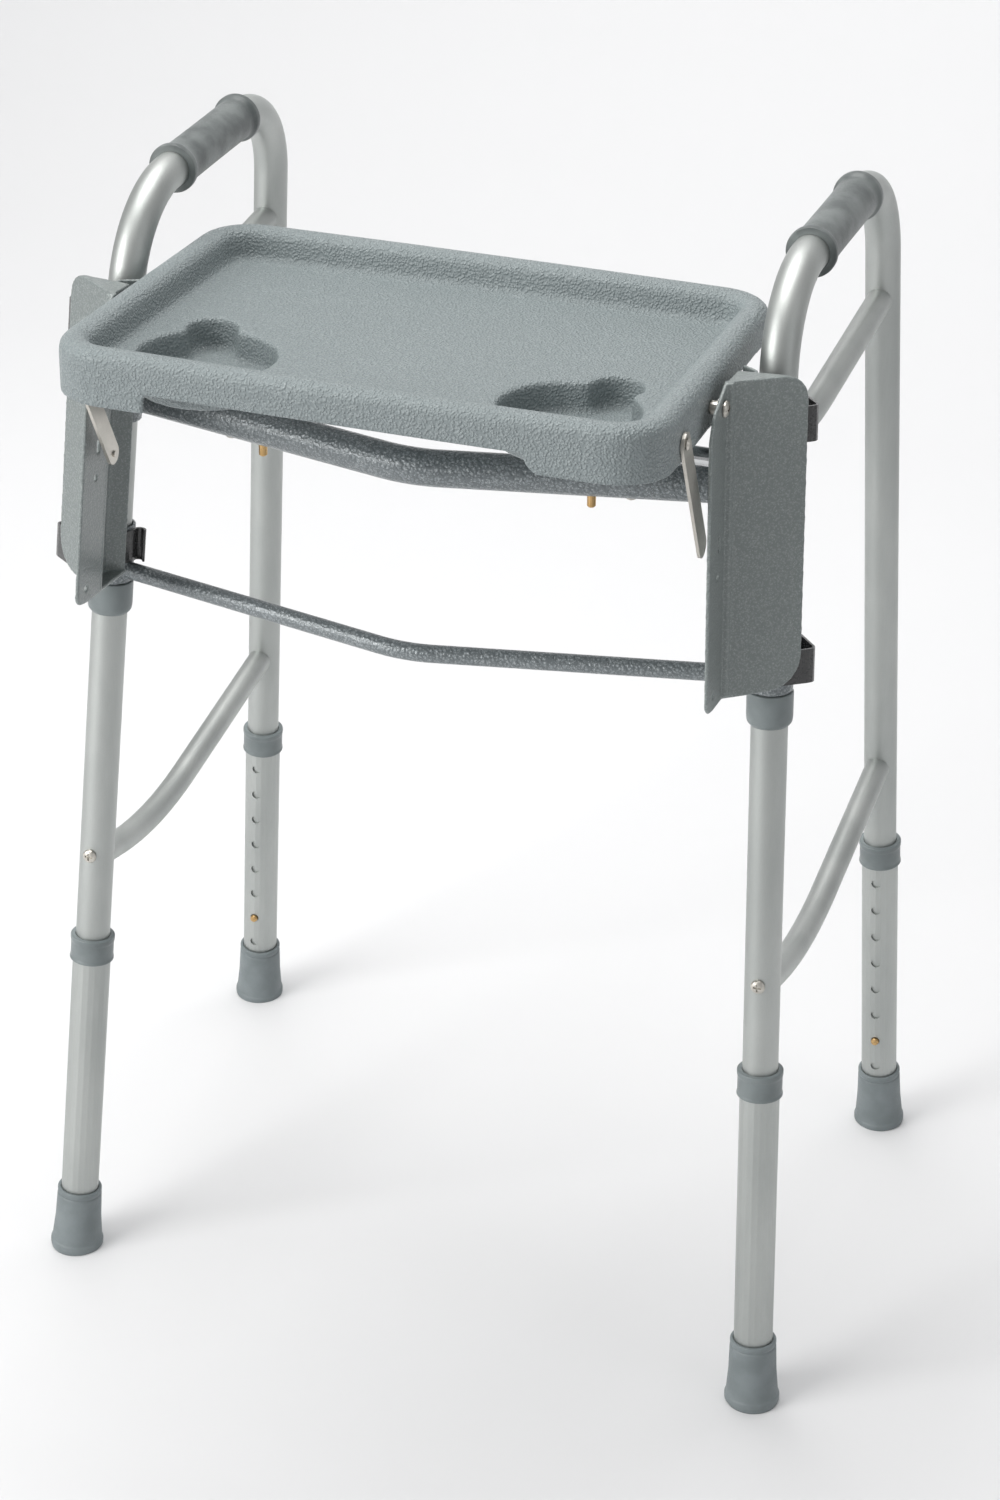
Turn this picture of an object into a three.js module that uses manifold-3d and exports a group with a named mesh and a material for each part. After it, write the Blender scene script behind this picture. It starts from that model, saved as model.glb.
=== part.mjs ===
// A folding walking frame with a fold-down tray between its front legs.
// Millimetres, +Z up, -Y is the front (the side of the cross braces), origin under the middle.
import * as THREE from "three";
import { mergeVertices } from "three/addons/utils/BufferGeometryUtils.js";
import Module from "manifold-3d";

const wasm = await Module();
wasm.setup();

// ---- driving dimensions ----
const SEG = 20; // facets round a leg tube

// side frames: each leg leans in towards the top
const LEG_OD = 25.4;
const LEG_WALL = 1.4;
const FRONT_FOOT_X = 273.8; // half the width between the front feet
const REAR_SPREAD = 5.3; // the rear feet stand this much further out
const LEAN_IN = 0.055; // per millimetre of height
const FRONT_LEAN_BACK = 0.0911;
const REAR_LEAN_FORWARD = 0.0526;
const FOOT_DEPTH = 383.3; // front foot to rear foot
const TOP_RAIL_Z = 834;
const LEG_END = 50; // the legs' lower ends, inside the extensions
const FRONT_BEND_R = 70;
const REAR_BEND_R = 68;
const GRIP_LENGTH = 124;
const GRIP_FLANGE = 4.9; // proud of the tube
const GRIP_WAIST = 2.5;
const GRIP_FROM_FRONT_LEG = 72;
const FIT = 0.12; // radial room round a tube where a piece is fixed on it

// leg extensions
const EXT_WALL = 1.25;
const SLIDE_CLEARANCE = 0.35; // radial, between a leg and its extension
const EXT_TOP = 272;
const EXT_BOTTOM = 9;
const HOLE_PITCH = 25.4;
const HOLE_COUNT = 8;
const HOLE_D = 7.4;
const TOP_HOLE = 240.4;
const BUTTON_HOLE = 6; // counted down from the top hole
const BUTTON_D = 6.4;
const BUTTON_PROUD = 3.2;
const BUTTON_TRAVEL = 4.8;
const COLLAR_WALL = 2.2;
const COLLAR_HEIGHT = 20;
const TIP_WALL = 2.7;
const TIP_FLARE = 3.4;
const TIP_HEIGHT = 52;

// side braces
const SIDE_BRACE_OD = 19;
const SIDE_BEND_R = 330;
const SIDE_SAG_AT = 0.3; // of the way from the front leg
const SIDE_SAG_EXTRA = 6; // the straight runs meet this far below the bend
const UPPER_SIDE_REAR_Z = 736;
const UPPER_SIDE_MID_Z = 726;
const UPPER_SIDE_FRONT_Z = 728;
const LOWER_SIDE_REAR_Z = 346;
const LOWER_SIDE_MID_Z = 318;
const LOWER_SIDE_FRONT_Z = 338;
const SCREW_HEAD_R = 5.2;

// front cross braces and the hinge sleeves that turn on the front legs
const BRACE_BOW = 54; // how far the middle stands forward
const UPPER_BRACE_OD = 25.4;
const UPPER_BRACE_WALL = 1.6;
const UPPER_BRACE_Z = 701;
const LOWER_BRACE_OD = 12.7;
const LOWER_BRACE_Z = 569;
const BRACE_BEND_R = 90;
const SLEEVE_WALL = 2.3;
const SLEEVE_CLEARANCE = 0.5;
const UPPER_SLEEVE = [684, 717];
const LOWER_SLEEVE = [563, 606];
const STOP_COLLAR_WALL = 3.3;
const STOP_COLLAR = [538, 562.5];
const PIN_X = 117.5;
const PIN_D = 6;
const PIN_PROUD = 8.5;
const PIN_TRAVEL = 4;
const BRACE_SCREW_X = 143;

// tray
const TRAY_SIDE_GAP = 6.38; // from the bracket to the tray's side, at the pivot
const TRAY_FRONT_Y = -117;
const TRAY_REAR_Y = 176;
const TRAY_TOP_Z = 801;
const TRAY_TILT = 0.04; // falls towards the rear
const TRAY_BOW = 2; // front and rear edges, out at the middle
const TRAY_CORNER_R = 38;
const TRAY_WALL = 3;
const RIM_WIDTH = 21;
const RIM_R = 9;
const SKIRT_DEPTH = 25;
const END_SKIRT_DEPTH = 38;
const END_SKIRT_IN = 72.5; // from the tray's side
const END_SKIRT_R = 14; // at the right skirt's inner corner
const END_SKIRT_BACK_Y = 16;
const FLOOR_DEPTH = 21;
const CUP_IN = 81.5; // from the tray's side to the cup's middle
const CUP_Y = -38;
const CUP_R = 46;
const CUP_DEPTH = 21;
const CUP_HANDLE_IN = 64.5;
const CUP_HANDLE_Y = 11;
const CUP_HANDLE_R = 17;
const CUP_FILLET_R = 7;

// tray brackets, clips, pivots and stays
const PLATE_GAP = 1.5; // from the lower sleeve to the inner plate's outer face
const PLATE_T = 2.4;
const PLATE_FRONT = 98; // ahead of the leg axis
const BRACE_ROOM = 6.3; // between the upper brace and the pan's rear rim
const PAN_DEPTH = 10; // the pan behind the fold is set back this far from the strip
const PAN_BEND_R = 8;
const PAN_RIM = 9; // depth of its slanted rear side
const WING_AT = 60;
const WING_WIDTH = 55;
const WING_SWEEP = 36; // degrees
const BRACKET_BOTTOM = 575;
const BRACKET_TOP = 793;
const PIVOT_Y = 0;
const PIVOT_Z = 779;
const PIVOT_D = 6;
const STAY_TOP = [-63, 779.5];
const STAY_BOTTOM = [-12, 687];
const STAY_WIDTH = 15;
const STAY_T = 2.2;
const ROD_D = 12.7;
const ROD_Y = 30;
const ROD_Z = 731;
const CLIP_HEIGHT = 24;
const CLIP_T = 1.6;
const CLIP_GAP = 0.35;
const CLIP_FLARE_R = 3.6;
const UPPER_CLIP_Z = 759;
const LOWER_CLIP_Z = 592;

// ---- sizes that follow from them ----
const REAR_FOOT_X = FRONT_FOOT_X + REAR_SPREAD;
const EXT_OD = LEG_OD + 2 * (SLIDE_CLEARANCE + EXT_WALL);
const COLLAR_OD = EXT_OD + 2 * COLLAR_WALL;
const TIP_TOP_R = EXT_OD / 2 + TIP_WALL;
const TIP_BASE_R = TIP_TOP_R + TIP_FLARE;
const SLEEVE_OD = LEG_OD + 2 * (SLEEVE_CLEARANCE + SLEEVE_WALL);
const STOP_COLLAR_OD = LEG_OD + 2 * STOP_COLLAR_WALL;
const PLATE_X = SLEEVE_OD / 2 + PLATE_GAP;
const PLATE_REAR = UPPER_BRACE_OD / 2 + BRACE_ROOM;
const CENTRE_Y = (FOOT_DEPTH + TIP_BASE_R + TRAY_FRONT_Y - TRAY_BOW) / 2;

// ---- solids ----
const group = new THREE.Group();
const rad = THREE.MathUtils.degToRad;
const V = (x, y, z) => new THREE.Vector3(x, y, z);

function solid(geometry) {
  const g = geometry.clone();
  for (const name of ["normal", "uv"]) g.deleteAttribute(name);
  const m = mergeVertices(g.index ? g.toNonIndexed() : g, 1e-4);
  return new wasm.Manifold(
    new wasm.Mesh({
      numProp: 3,
      vertProperties: m.attributes.position.array,
      triVerts: new Uint32Array(m.index.array),
    }),
  );
}

function geometryOf(manifold) {
  const mesh = manifold.getMesh();
  const g = new THREE.BufferGeometry();
  g.setAttribute("position", new THREE.BufferAttribute(mesh.vertProperties, 3));
  g.setIndex(new THREE.BufferAttribute(mesh.triVerts, 1));
  return g;
}

const join = (...list) => geometryOf(list.map(solid).reduce((a, b) => a.add(b)));
const cut = (from, ...list) =>
  geometryOf(list.map(solid).reduce((a, b) => a.subtract(b), solid(from)));
const common = (a, b) => geometryOf(solid(a).intersect(solid(b)));

// A closed surface through rings of the same number of points, each going
// anticlockwise seen from the last ring's side.
function loft(rings) {
  const n = rings[0].length;
  const position = rings.flat().flatMap((p) => [p.x, p.y, p.z]);
  const index = [];
  for (let r = 0; r + 1 < rings.length; r++)
    for (let i = 0; i < n; i++) {
      const a = r * n + i;
      const b = r * n + ((i + 1) % n);
      index.push(a, b, b + n, a, b + n, a + n);
    }
  const cap = (ring, start, flip) => {
    const centre = ring.reduce((s, p) => s.add(p), V(0, 0, 0)).divideScalar(n);
    const c = position.length / 3;
    position.push(centre.x, centre.y, centre.z);
    for (let i = 0; i < n; i++) {
      const a = start + i;
      const b = start + ((i + 1) % n);
      if (flip) index.push(c, b, a);
      else index.push(c, a, b);
    }
  };
  cap(rings[0], 0, true);
  cap(rings.at(-1), (rings.length - 1) * n, false);
  const g = new THREE.BufferGeometry();
  g.setAttribute("position", new THREE.Float32BufferAttribute(position, 3));
  g.setIndex(index);
  return g;
}

// A round bar along a path that lies in the plane with this normal.
function sweep(path, radius, normal, seg = SEG) {
  const up = normal.clone().normalize();
  return loft(
    path.map((p, i) => {
      const ahead = path[Math.min(i + 1, path.length - 1)].clone().sub(p);
      const behind = p.clone().sub(path[Math.max(i - 1, 0)]);
      const along = ahead.normalize().add(behind.normalize()).normalize();
      const side = V().crossVectors(up, along).normalize();
      const stretch = 1 / Math.max(0.7, along.dot(i ? behind : ahead));
      return Array.from({ length: seg }, (_, k) => {
        const a = (2 * Math.PI * k) / seg;
        return p
          .clone()
          .addScaledVector(side, radius * stretch * Math.cos(a))
          .addScaledVector(up, -radius * Math.sin(a));
      }).reverse();
    }),
  );
}

// Corner points joined by straight runs, with each inner corner rounded.
function rounded(points, radii, steps = 6) {
  const out = [points[0]];
  for (let i = 1; i + 1 < points.length; i++) {
    const p = points[i];
    const u = points[i - 1].clone().sub(p).normalize();
    const v = points[i + 1].clone().sub(p).normalize();
    const half = u.angleTo(v) / 2;
    const r = radii[i - 1];
    const centre = u.clone().add(v).normalize().multiplyScalar(r / Math.sin(half)).add(p);
    const a = u.multiplyScalar(r / Math.tan(half)).add(p).sub(centre);
    const b = v.multiplyScalar(r / Math.tan(half)).add(p).sub(centre);
    const turn = a.angleTo(b);
    for (let k = 0; k <= steps; k++) {
      const t = k / steps;
      out.push(
        a.clone().multiplyScalar(Math.sin((1 - t) * turn) / Math.sin(turn))
          .addScaledVector(b, Math.sin(t * turn) / Math.sin(turn))
          .add(centre),
      );
    }
  }
  out.push(points.at(-1));
  return out;
}

// Turned about +Z from a profile of [radius, height] points.
function turned(profile, seg = 20) {
  const points = profile.map(([r, z]) => new THREE.Vector2(r, z));
  return new THREE.LatheGeometry(points, seg).rotateX(Math.PI / 2);
}

const ring = (inner, outer, low, high, seg = 20) =>
  turned([[inner, low], [outer, low], [outer, high], [inner, high], [inner, low]], seg);
const rod = (radius, low, high, seg = SEG) =>
  turned([[0, low], [radius, low], [radius, high], [0, high]], seg);

function plate(outline, thickness, holes = []) {
  const shape = new THREE.Shape(outline.map(([x, y]) => new THREE.Vector2(x, y)));
  for (const [x, y, r] of holes)
    shape.holes.push(new THREE.Path().absarc(x, y, r, 0, 2 * Math.PI, true));
  return new THREE.ExtrudeGeometry(shape, {
    depth: thickness,
    bevelEnabled: false,
    curveSegments: 8,
  });
}

// An outline with rounded corners: [x, y, radius] each.
function outlineOf(corners, steps = 6) {
  const n = corners.length;
  return corners.flatMap(([x, y, r], i) => {
    if (!r) return [[x, y]];
    const [px, py] = corners[(i + n - 1) % n];
    const [nx, ny] = corners[(i + 1) % n];
    const pts = [V(px, py, 0), V(x, y, 0), V(nx, ny, 0)];
    return rounded(pts, [r], steps).slice(1, -1).map((p) => [p.x, p.y]);
  });
}

// A flat strip of even thickness along a line of [x, y] points, standing upright.
function strip(line, thickness, height) {
  const side = (sign) =>
    line.map(([x, y], i) => {
      const [ax, ay] = line[Math.max(i - 1, 0)];
      const [bx, by] = line[Math.min(i + 1, line.length - 1)];
      const length = Math.hypot(bx - ax, by - ay);
      const off = (sign * thickness) / 2 / length;
      return [x - (by - ay) * off, y + (bx - ax) * off];
    });
  return plate([...side(-1), ...side(1).reverse()], height);
}

// A geometry made along +Z is laid from point a towards point b.
function laid(geometry, a, b) {
  const q = new THREE.Quaternion();
  q.setFromUnitVectors(V(0, 0, 1), b.clone().sub(a).normalize());
  return geometry.applyQuaternion(q).translate(a.x, a.y, a.z);
}

// ---- frames of reference (right side, +X) ----
// leg frame: z up the front leg, x outwards, y to the rear, origin at the floor
function legBasis(backLean) {
  const z = V(-LEAN_IN, backLean, 1).normalize();
  const x = V(1, 0, 0).addScaledVector(z, -z.x).normalize();
  const y = V().crossVectors(z, x);
  return [x, y, z];
}
const frontLeg = new THREE.Matrix4()
  .makeBasis(...legBasis(FRONT_LEAN_BACK))
  .setPosition(FRONT_FOOT_X, -CENTRE_Y, 0);
const rearLeg = new THREE.Matrix4()
  .makeBasis(...legBasis(-REAR_LEAN_FORWARD))
  .setPosition(REAR_FOOT_X, FOOT_DEPTH - CENTRE_Y, 0);
const front = (g) => g.applyMatrix4(frontLeg);
const rear = (g) => g.applyMatrix4(rearLeg);
// points of the leg axes at a height over the floor
const frontAt = (z) =>
  V(FRONT_FOOT_X - LEAN_IN * z, FRONT_LEAN_BACK * z - CENTRE_Y, z);
const rearAt = (z) =>
  V(REAR_FOOT_X - LEAN_IN * z, FOOT_DEPTH - REAR_LEAN_FORWARD * z - CENTRE_Y, z);

// where the line along X at this height and depth meets the bracket's inner plate
const intoLeg = frontLeg.clone().invert();
function onPlate(y, z) {
  const [a, b] = [0, 1].map((x) => V(x, y - CENTRE_Y, z).applyMatrix4(intoLeg).x);
  return V((-PLATE_X - a) / (b - a), y - CENTRE_Y, z);
}
const pivotAt = onPlate(PIVOT_Y, PIVOT_Z);
const TRAY_WIDTH = 2 * (pivotAt.x - PLATE_T - TRAY_SIDE_GAP);

// ---- nodes ----
const FINISHES = {
  satin_aluminium: { color: 0xc3c7c4, metalness: 0.9, roughness: 0.35 },
  dark_hammertone: { color: 0x4f575c, metalness: 0.3, roughness: 0.5 },
  grey_hammertone: { color: 0x858d8c, metalness: 0.2, roughness: 0.5 },
  tray_plastic: { color: 0x98a2a4, metalness: 0, roughness: 0.55 },
  grey_plastic: { color: 0x7b8688, metalness: 0, roughness: 0.6 },
  foot_rubber: { color: 0x6f797b, metalness: 0, roughness: 0.8 },
  brass: { color: 0xb08d57, metalness: 1, roughness: 0.3 },
  plated_steel: { color: 0xc9c6bd, metalness: 1, roughness: 0.2 },
  spring_steel_black: { color: 0x17191a, metalness: 0.4, roughness: 0.35 },
};

function add(name, geometry, finish) {
  const mesh = new THREE.Mesh(geometry, new THREE.MeshStandardMaterial(FINISHES[finish]));
  mesh.name = name;
  group.add(mesh);
}

function mirrored(geometry) {
  const g = geometry.index ? geometry.toNonIndexed() : geometry.clone();
  g.scale(-1, 1, 1);
  const p = g.attributes.position;
  for (let i = 0; i < p.count; i += 3)
    for (const k of ["X", "Y", "Z"]) {
      const b = p["get" + k](i + 1);
      p["set" + k](i + 1, p["get" + k](i + 2));
      p["set" + k](i + 2, b);
    }
  return g;
}

function pair(name, geometry, finish) {
  for (const g of [geometry, mirrored(geometry)]) {
    for (const k of ["normal", "uv"]) g.deleteAttribute(k);
    g.computeVertexNormals();
  }
  add(name + "_r", geometry, finish);
  add(name + "_l", mirrored(geometry), finish);
}

// side frame: one bent tube, front leg, top rail and rear leg
const frameCorners = (low) => [
  frontAt(low), frontAt(TOP_RAIL_Z), rearAt(TOP_RAIL_Z), rearAt(low),
];
const [c0, c1, c2, c3] = frameCorners(LEG_END);
const sideNormal = V().crossVectors(c2.clone().sub(c1), c1.clone().sub(c0));
const framePath = (low) => rounded(frameCorners(low), [FRONT_BEND_R, REAR_BEND_R]);
const buttonAt = TOP_HOLE - BUTTON_HOLE * HOLE_PITCH;

// a bar through a leg at the buttons' height: rear legs' buttons face forward, front ones back
const cross = (radius, from, to, height) =>
  rod(radius, from, to, 12).rotateX(-Math.PI / 2).translate(0, 0, height);
const acrossFront = (radius, from, to, height) => front(cross(radius, from, to, height));
const acrossRear = (radius, from, to, height) =>
  rear(cross(radius, from, to, height).rotateZ(Math.PI));

const frameTube = cut(
  sweep(framePath(LEG_END), LEG_OD / 2, sideNormal),
  sweep(framePath(LEG_END - 2), LEG_OD / 2 - LEG_WALL, sideNormal),
  acrossFront(BUTTON_D / 2 + 0.3, 6, LEG_OD, buttonAt),
  acrossRear(BUTTON_D / 2 + 0.3, 6, LEG_OD, buttonAt),
);
pair("side_frame", frameTube, "satin_aluminium");

// hand grips: a moulded sleeve with a flange at each end
const gripProfile = (length) => {
  const inner = LEG_OD / 2 + FIT;
  const f = LEG_OD / 2 + GRIP_FLANGE;
  const w = LEG_OD / 2 + GRIP_WAIST;
  const profile = [[inner, 0], [f - 1.5, 0], [f, 1.5], [f - 0.3, 5.5]];
  for (let i = 0; i <= 6; i++) {
    const t = i / 6;
    const swell = (f - 2.2 - w) * (2 * t - 1) ** 2;
    profile.push([w + swell, 10 + t * (length - 20)]);
  }
  profile.push([f - 0.3, length - 5.5], [f, length - 1.5]);
  profile.push([f - 1.5, length], [inner, length], [inner, 0]);
  return profile;
};
const railDirection = c2.clone().sub(c1).normalize();
const gripStart = c1.clone().addScaledVector(railDirection, GRIP_FROM_FRONT_LEG);
const gripEnd = gripStart.clone().addScaledVector(railDirection, GRIP_LENGTH);
pair("grip", laid(turned(gripProfile(GRIP_LENGTH), 24), gripStart, gripEnd), "grey_plastic");

// side braces: curved tubes coped round the legs
function sideBrace(rearZ, midZ, frontZ) {
  const a = frontAt(frontZ);
  const b = rearAt(rearZ);
  const low = a.clone().lerp(b, SIDE_SAG_AT);
  low.x += LEAN_IN * (low.z - midZ);
  low.z = midZ - SIDE_SAG_EXTRA * Math.sign(a.z - midZ);
  const bar = sweep(rounded([a, low, b], [SIDE_BEND_R], 8), SIDE_BRACE_OD / 2, sideNormal, 18);
  const room = LEG_OD / 2 + FIT;
  const legs = [[frontAt(frontZ - 60), frontAt(frontZ + 60)], [rearAt(rearZ - 60), rearAt(rearZ + 60)]]
    .map(([p, q]) => laid(rod(room, 0, 120), p, q));
  // beyond each leg's axis nothing is left
  const past = (p, s) =>
    new THREE.BoxGeometry(80, 60, 120).translate(p.x, p.y + s * 30, p.z);
  return cut(bar, ...legs, past(a, -1), past(b, 1));
}
pair(
  "side_brace_upper",
  sideBrace(UPPER_SIDE_REAR_Z, UPPER_SIDE_MID_Z, UPPER_SIDE_FRONT_Z),
  "satin_aluminium",
);
pair(
  "side_brace_lower",
  sideBrace(LOWER_SIDE_REAR_Z, LOWER_SIDE_MID_Z, LOWER_SIDE_FRONT_Z),
  "satin_aluminium",
);

// the cross-slot screw at the front of each front leg holds the lower side brace
function slottedHead(radius, height) {
  const profile = [[0, 0], [radius, 0], [radius, height * 0.35]];
  for (let i = 1; i <= 3; i++) {
    const a = (i * Math.PI) / 6;
    profile.push([radius * Math.cos(a), height * (0.35 + 0.65 * Math.sin(a))]);
  }
  profile[profile.length - 1] = [0, height];
  const slot = new THREE.BoxGeometry(radius * 1.1, radius * 0.26, height);
  const cross = slot.clone().rotateZ(Math.PI / 2);
  return cut(turned(profile, 16), slot.translate(0, 0, height), cross.translate(0, 0, height));
}
const screwHead = slottedHead(SCREW_HEAD_R, 3)
  .rotateX(Math.PI / 2)
  .translate(0, -LEG_OD / 2 - FIT, 345);
pair("side_brace_screw", front(screwHead), "plated_steel");

// ---- leg extensions ----
const ANGLES = [["front", front, 1], ["rear", rear, -1]];
const holes = Array.from({ length: HOLE_COUNT }, (_, i) => TOP_HOLE - i * HOLE_PITCH);
for (const [where, place, facing] of ANGLES) {
  const turn = facing > 0 ? 0 : Math.PI;
  const extension = cut(
    ring(LEG_OD / 2 + SLIDE_CLEARANCE, EXT_OD / 2, EXT_BOTTOM, EXT_TOP, SEG),
    ...holes.map((z) => cross(HOLE_D / 2, 6, EXT_OD, z).rotateZ(turn)),
  );
  pair("leg_extension_" + where, place(extension), "satin_aluminium");

  // grey collar capping the top of the extension
  const bore = LEG_OD / 2 + SLIDE_CLEARANCE;
  const outer = COLLAR_OD / 2;
  const over = EXT_OD / 2 + FIT;
  const low = EXT_TOP + 2.4 - COLLAR_HEIGHT;
  const collar = turned([
    [over, low], [outer - 1, low], [outer, low + 1], [outer, EXT_TOP + 1],
    [outer - 1.4, EXT_TOP + 2.4], [bore, EXT_TOP + 2.4], [bore, EXT_TOP + 0.1],
    [over, EXT_TOP + 0.1], [over, low],
  ]);
  pair("leg_collar_" + where, place(collar), "grey_plastic");

  // brass snap button, inside the leg and through one hole of the extension
  const tip = EXT_OD / 2 + BUTTON_PROUD;
  const b = BUTTON_D / 2;
  const button = turned([
    [0, 7.2], [4.6, 7.2], [4.6, 9], [b, 9], [b, tip - 2], [b * 0.82, tip - 0.7],
    [0, tip],
  ], 16).rotateX(-Math.PI / 2).translate(0, 0, buttonAt).rotateZ(turn);
  pair("snap_button_" + where, place(button), "brass");

  // rubber foot tip
  const foot = turned([
    [0, -3], [TIP_BASE_R - 1, -3], [TIP_BASE_R, 2], [TIP_BASE_R, 6], [TIP_BASE_R - 1.2, 8],
    [TIP_TOP_R + 0.6, 26], [TIP_TOP_R, TIP_HEIGHT - 1.5], [TIP_TOP_R - 1, TIP_HEIGHT],
    [over, TIP_HEIGHT], [over, EXT_BOTTOM - 0.1], [0, EXT_BOTTOM - 0.1],
  ]);
  const floor = new THREE.BoxGeometry(2000, 2000, 100).translate(0, 0, -50);
  pair("foot_tip_" + where, cut(place(foot), floor), "foot_rubber");
}

// collar under the lower hinge sleeve, fixed on the front leg
{
  const [low, high] = STOP_COLLAR;
  const r = STOP_COLLAR_OD / 2;
  const inner = LEG_OD / 2 + FIT;
  const collar = turned([
    [inner, low], [r - 2.5, low], [r - 0.6, low + 2], [r, low + 5], [r, high - 0.8],
    [r - 0.8, high], [inner, high], [inner, low],
  ]);
  pair("stop_collar", front(collar), "grey_plastic");
}

// ---- front cross braces, each one piece with its two hinge sleeves ----
const sleeveBore = LEG_OD / 2 + SLEEVE_CLEARANCE;
function bothSides(geometry) {
  return [geometry, mirrored(geometry)];
}
const braceAxis = (z, bow, endInset) => {
  const end = frontAt(z);
  const apex = V(0, end.y - bow, z);
  const start = end.clone().lerp(apex, endInset / end.distanceTo(apex));
  const other = V(-start.x, start.y, start.z);
  return rounded([start, apex, other], [BRACE_BEND_R], 6);
};
function crossBrace(z, radius, sleeve, innerRadius) {
  const [low, high] = sleeve;
  const bar = sweep(braceAxis(z, BRACE_BOW, 2), radius, V(0, 0, 1), SEG);
  const shells = bothSides(front(rod(SLEEVE_OD / 2, low, high, 28)));
  const bores = bothSides(front(rod(sleeveBore, low - 40, high + 40, 28)));
  const body = join(bar, ...shells);
  if (!innerRadius) return cut(body, ...bores);
  return cut(body, ...bores, sweep(braceAxis(z, BRACE_BOW, 24), innerRadius, V(0, 0, 1), SEG));
}
const onUpperBrace = (x) => {
  const end = frontAt(UPPER_BRACE_Z);
  return end.y - BRACE_BOW * (1 - x / end.x);
};
const pinHoles = [-1, 1].map((s) =>
  rod(PIN_D / 2 + 0.3, -UPPER_BRACE_OD, 0, 20)
    .translate(s * PIN_X, onUpperBrace(PIN_X), UPPER_BRACE_Z),
);
const upperBrace = cut(
  crossBrace(UPPER_BRACE_Z, UPPER_BRACE_OD / 2, UPPER_SLEEVE,
    UPPER_BRACE_OD / 2 - UPPER_BRACE_WALL),
  ...pinHoles,
);
add("cross_brace_upper", upperBrace, "dark_hammertone");
const lowerBar = crossBrace(LOWER_BRACE_Z, LOWER_BRACE_OD / 2, LOWER_SLEEVE, 0);
add("cross_brace_lower", lowerBar, "dark_hammertone");

// brass lock pins under the upper brace, with their heads inside it
const pinTop = UPPER_BRACE_Z - UPPER_BRACE_OD / 2 + UPPER_BRACE_WALL;
const lockPin = turned([
  [0, pinTop - UPPER_BRACE_WALL - PIN_PROUD], [PIN_D / 2 - 1, pinTop - UPPER_BRACE_WALL - PIN_PROUD],
  [PIN_D / 2, pinTop - UPPER_BRACE_WALL - PIN_PROUD + 1], [PIN_D / 2, pinTop + 1.4],
  [PIN_D / 2 + 1.6, pinTop + 1.4], [PIN_D / 2 + 1.6, pinTop + 3.4], [0, pinTop + 3.4],
], 16).translate(PIN_X, onUpperBrace(PIN_X), 0);
pair("lock_pin", lockPin, "brass");

// domed rivets beside them
const braceUnder = UPPER_BRACE_Z - UPPER_BRACE_OD / 2;
const rivet = cut(
  turned([
    [0, braceUnder - 1.6], [2.2, braceUnder - 1.3], [3.8, braceUnder - 0.3],
    [3.8, braceUnder + 3], [0, braceUnder + 3],
  ], 20).translate(BRACE_SCREW_X, onUpperBrace(BRACE_SCREW_X), 0),
  sweep(braceAxis(UPPER_BRACE_Z, BRACE_BOW, 2), UPPER_BRACE_OD / 2 + 0.05, V(0, 0, 1), SEG),
);
pair("brace_rivet", rivet, "plated_steel");

// ---- tray ----
// rounded outline, moved in by inset and down by drop
function trayRing(inset, drop) {
  const a = TRAY_WIDTH / 2 - inset;
  const front = TRAY_FRONT_Y + inset;
  const back = TRAY_REAR_Y - inset;
  const r = Math.max(TRAY_CORNER_R - inset, 6);
  const mid = (TRAY_FRONT_Y + TRAY_REAR_Y) / 2;
  const pts = [];
  const corner = (cx, cy, from) => {
    for (let k = 0; k <= 6; k++) {
      const t = rad(from + (90 * k) / 6);
      pts.push([cx + r * Math.cos(t), cy + r * Math.sin(t)]);
    }
  };
  const edge = (x0, y0, x1, y1) => {
    for (const t of [0.33, 0.67]) pts.push([x0 + t * (x1 - x0), y0 + t * (y1 - y0)]);
  };
  corner(a - r, back - r, 0);
  edge(a - r, back, r - a, back);
  corner(r - a, back - r, 90);
  edge(-a, back - r, -a, front + r);
  corner(r - a, front + r, 180);
  edge(r - a, front, a - r, front);
  corner(a - r, front + r, 270);
  edge(a, front + r, a, back - r);
  return pts.map(([x, y]) => {
    const atEdge = Math.abs(y - mid) > 100 ? Math.sign(y - mid) : 0;
    const bow = TRAY_BOW * (1 - (x / a) ** 2) * atEdge;
    return V(x, y + bow - CENTRE_Y, TRAY_TOP_Z - drop - TRAY_TILT * (y - PIVOT_Y));
  });
}
const rimInner = RIM_WIDTH - RIM_R;
const arc = (cx, cz, r, from, to, steps) =>
  Array.from({ length: steps + 1 }, (_, k) => {
    const t = rad(from + ((to - from) * k) / steps);
    return [cx - r * Math.cos(t), cz - r * Math.sin(t)];
  });
const inWall = RIM_WIDTH + 2;
const underR = RIM_R - TRAY_WALL;
const trayProfile = [
  [inWall + 6, FLOOR_DEPTH], [inWall + 1.2, FLOOR_DEPTH - 1.2],
  [inWall - 0.4, FLOOR_DEPTH - 4],
  ...arc(rimInner, RIM_R, RIM_R, 180, 90, 3),
  ...arc(RIM_R, RIM_R, RIM_R, 90, 0, 4),
  [0, SKIRT_DEPTH - 1], [0.8, SKIRT_DEPTH], [TRAY_WALL - 0.6, SKIRT_DEPTH],
  ...arc(RIM_R, RIM_R, underR, 0, 90, 2),
  ...arc(rimInner, RIM_R, underR, 90, 180, 2),
  [inWall - 3, FLOOR_DEPTH - 2], [inWall + 2, FLOOR_DEPTH + TRAY_WALL],
  [inWall + 6, FLOOR_DEPTH + TRAY_WALL],
];
const shell = loft(trayProfile.map(([inset, drop]) => trayRing(inset, drop)).reverse());

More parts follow.
